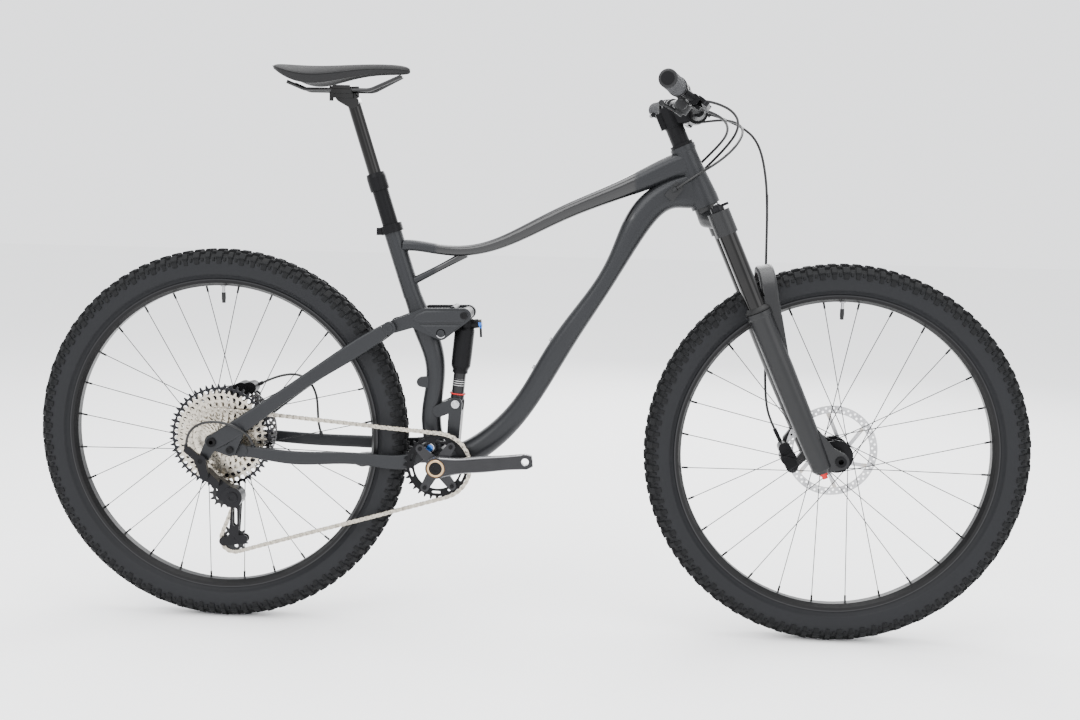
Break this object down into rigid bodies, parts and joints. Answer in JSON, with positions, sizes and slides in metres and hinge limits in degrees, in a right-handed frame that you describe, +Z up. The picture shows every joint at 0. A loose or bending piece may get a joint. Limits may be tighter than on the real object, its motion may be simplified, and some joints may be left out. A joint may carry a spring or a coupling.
{
  "type": "mountain bike",
  "caption": "Full-suspension mountain bike with telescopic fork, linkage rear end, dropper seatpost, disc brakes and a single-ring drivetrain.",
  "frame": {"origin": "on the ground, midway between the two axles, in the bike's mid plane", "axes": "+X forward, +Y to the rider's left, +Z up; the drive side is -Y"},
  "size_m": [1.954, 0.794, 1.1064],
  "materials": {
    "frame_paint": "satin",
    "fork_paint": "satin",
    "stanchion_black": "glossy dark hard coat",
    "anodised_black": "satin anodised",
    "rim_black": "satin anodised",
    "tyre_rubber": "matte",
    "spoke_black": "black coated",
    "rotor_steel": "brushed",
    "chain_steel": "plated",
    "crank_alloy": "polished dark",
    "grip_rubber": "matte ribbed",
    "saddle_cover": "synthetic leather",
    "rail_steel": "satin",
    "hose_black": "glossy",
    "port_plastic": "moulded",
    "lever_black": "anodised",
    "dial_black": "satin",
    "dial_red": "anodised",
    "lockout_blue": "anodised",
    "bolt_steel": "plain"
  },
  "bodies": {
    "frame": {"head_tube": "frame_paint", "top_tube": "frame_paint", "down_tube": "frame_paint", "seat_tube": "frame_paint", "bottom_bracket_shell": "frame_paint", "shock_bracket": "frame_paint", "frame_bolts": "bolt_steel", "seat_clamp": "anodised_black", "seatpost_outer": "anodised_black", "cable_port_covers": "port_plastic", "chain": "chain_steel", "rear_brake_hose": "hose_black", "shift_housing": "hose_black", "dropper_housing": "hose_black"},
    "saddle_post": {"seatpost_inner": "stanchion_black", "saddle_rails": "rail_steel", "saddle": "saddle_cover"},
    "steering": {"fork_crown": "fork_paint", "stanchions": "stanchion_black", "stem": "anodised_black", "handlebar": "anodised_black", "grips": "grip_rubber", "brake_masters": "anodised_black", "bar_remotes": "port_plastic", "front_brake_hose": "hose_black"},
    "right_brake_lever": {"brake_lever_right": "lever_black"},
    "left_brake_lever": {"brake_lever_left": "lever_black"},
    "gear_lever": {"shift_lever": "lever_black"},
    "post_lever": {"dropper_lever": "lever_black"},
    "damping_dial": {"compression_dial": "dial_black"},
    "fork_lower": {"fork_lowers": "fork_paint", "front_axle": "anodised_black", "front_caliper": "anodised_black"},
    "foot_dial": {"rebound_dial": "dial_red"},
    "front_wheel": {"front_tyre": "tyre_rubber", "front_rim": "rim_black", "front_spokes": "spoke_black", "front_hub": "anodised_black", "front_rotor": "rotor_steel"},
    "chainstay_yoke": {"chainstay": "frame_paint"},
    "seatstay_yoke": {"seatstays": "frame_paint", "rear_axle": "anodised_black", "rear_caliper": "anodised_black", "derailleur_body": "crank_alloy"},
    "rear_wheel": {"rear_tyre": "tyre_rubber", "rear_rim": "rim_black", "rear_spokes": "spoke_black", "rear_hub": "anodised_black", "rear_rotor": "rotor_steel"},
    "cassette": {"cassette_sprockets": "chain_steel"},
    "crankset": {"crank_arm_right": "crank_alloy", "crank_arm_left": "crank_alloy", "chainring": "anodised_black"},
    "rocker": {"rocker_link": "frame_paint"},
    "shock_rod": {"shock_shaft": "anodised_black"},
    "shock_body": {"shock_can": "anodised_black"},
    "lockout": {"shock_lever": "lockout_blue"},
    "cage": {"derailleur_cage": "anodised_black"},
    "upper_pulley": {"guide_pulley": "port_plastic"},
    "lower_pulley": {"tension_pulley": "port_plastic"}
  },
  "joints": [
    {"name": "dropper_post", "type": "slide", "parent": "frame", "child": "saddle_post", "axis": [0.3005, 0, -0.9538], "range_m": [0, 0.125]},
    {"name": "steering", "type": "hinge", "parent": "frame", "child": "steering", "pos_m": [0.31437, 0, 0.89938], "axis": [-0.4067, 0, 0.9135], "range_deg": [-60, 60], "deforming": ["front_brake_hose", "rear_brake_hose", "shift_housing", "dropper_housing"]},
    {"name": "brake_right", "type": "hinge", "parent": "steering", "child": "right_brake_lever", "pos_m": [0.30502, -0.206, 1.02598], "axis": [0.5736, 0, 0.8192], "range_deg": [-18, 0], "stiffness_Nm_per_rad": 1.5, "springref_deg": 5.73},
    {"name": "brake_left", "type": "hinge", "parent": "steering", "child": "left_brake_lever", "pos_m": [0.30502, 0.206, 1.02598], "axis": [0.5736, 0, 0.8192], "range_deg": [0, 18], "stiffness_Nm_per_rad": 1.5, "springref_deg": -5.73},
    {"name": "shift", "type": "hinge", "parent": "steering", "child": "gear_lever", "pos_m": [0.27019, -0.18, 1.01136], "axis": [0.5736, 0, 0.8192], "range_deg": [-28, 0], "stiffness_Nm_per_rad": 0.6, "springref_deg": 8.59},
    {"name": "post_release", "type": "hinge", "parent": "steering", "child": "post_lever", "pos_m": [0.26327, 0.192, 1.01505], "axis": [0.5736, 0, 0.8192], "range_deg": [0, 28], "stiffness_Nm_per_rad": 0.6, "springref_deg": -8.59},
    {"name": "compression_turn", "type": "hinge", "parent": "steering", "child": "damping_dial", "pos_m": [0.35471, -0.066, 0.84072], "axis": [-0.4067, 0, 0.9135], "range_deg": [-90, 0]},
    {"name": "fork_travel", "type": "slide", "parent": "steering", "child": "fork_lower", "axis": [-0.4067, 0, 0.9135], "range_m": [0, 0.13], "stiffness_N_per_m": 6500, "springref_m": -0.012},
    {"name": "rebound_turn", "type": "hinge", "parent": "fork_lower", "child": "foot_dial", "pos_m": [0.57435, -0.066, 0.34741], "axis": [-0.4067, 0, 0.9135], "range_deg": [-170, 170]},
    {"name": "front_wheel_spin", "type": "hinge", "parent": "fork_lower", "child": "front_wheel", "pos_m": [0.605, 0, 0.372], "axis": [0, 1, 0], "continuous": true},
    {"name": "suspension", "type": "hinge", "parent": "frame", "child": "chainstay_yoke", "pos_m": [-0.185, 0, 0.366], "axis": [0, 1, 0], "range_deg": [0, 15], "stiffness_Nm_per_rad": 2200, "springref_deg": -1.15, "deforming": ["chain"]},
    {"name": "seatstay_swing", "type": "hinge", "parent": "chainstay_yoke", "child": "seatstay_yoke", "pos_m": [-0.57, 0, 0.357], "axis": [0, 1, 0], "range_deg": [-12, 2]},
    {"name": "rocker_swing", "type": "hinge", "parent": "frame", "child": "rocker", "pos_m": [-0.165, 0, 0.592], "axis": [0, 1, 0], "range_deg": [-2, 48]},
    {"name": "shock_tilt", "type": "hinge", "parent": "frame", "child": "shock_rod", "pos_m": [-0.138, 0, 0.451], "axis": [0, 1, 0], "range_deg": [-2, 10]},
    {"name": "shock_stroke", "type": "slide", "parent": "shock_rod", "child": "shock_body", "axis": [-0.0956, 0, -0.9954], "range_m": [-0.0015, 0.0395]},
    {"name": "lockout_turn", "type": "hinge", "parent": "shock_body", "child": "lockout", "pos_m": [-0.09618, 0, 0.60929], "axis": [0.989, 0, 0.148], "range_deg": [-80, 0]},
    {"name": "rear_wheel_spin", "type": "hinge", "parent": "seatstay_yoke", "child": "rear_wheel", "pos_m": [-0.605, 0, 0.372], "axis": [0, 1, 0], "continuous": true},
    {"name": "crank_spin", "type": "hinge", "parent": "frame", "child": "crankset", "pos_m": [-0.168, 0, 0.333], "axis": [0, 1, 0], "continuous": true},
    {"name": "cassette_spin", "type": "hinge", "parent": "seatstay_yoke", "child": "cassette", "pos_m": [-0.605, 0, 0.372], "axis": [0, 1, 0], "continuous": true},
    {"name": "cage_swing", "type": "hinge", "parent": "seatstay_yoke", "child": "cage", "pos_m": [-0.569, 0, 0.261], "axis": [0, 1, 0], "range_deg": [-16, 8], "stiffness_Nm_per_rad": 1.2},
    {"name": "guide_spin", "type": "hinge", "parent": "cage", "child": "upper_pulley", "pos_m": [-0.597, 0, 0.259], "axis": [0, 1, 0], "continuous": true},
    {"name": "tension_spin", "type": "hinge", "parent": "cage", "child": "lower_pulley", "pos_m": [-0.57644, 0, 0.16728], "axis": [0, 1, 0], "continuous": true}
  ],
  "couplings": [
    {"joint": "seatstay_swing", "follows": "suspension", "ratio": -0.64},
    {"joint": "rocker_swing", "follows": "suspension", "ratio": 2.96},
    {"joint": "shock_tilt", "follows": "suspension", "ratio": 0.5},
    {"joint": "shock_stroke", "follows": "suspension", "m_per_rad": 0.1444},
    {"joint": "cassette_spin", "follows": "crank_spin", "ratio": 1.1429},
    {"joint": "guide_spin", "follows": "crank_spin", "ratio": -2.4615},
    {"joint": "tension_spin", "follows": "crank_spin", "ratio": 2.4615}
  ]
}
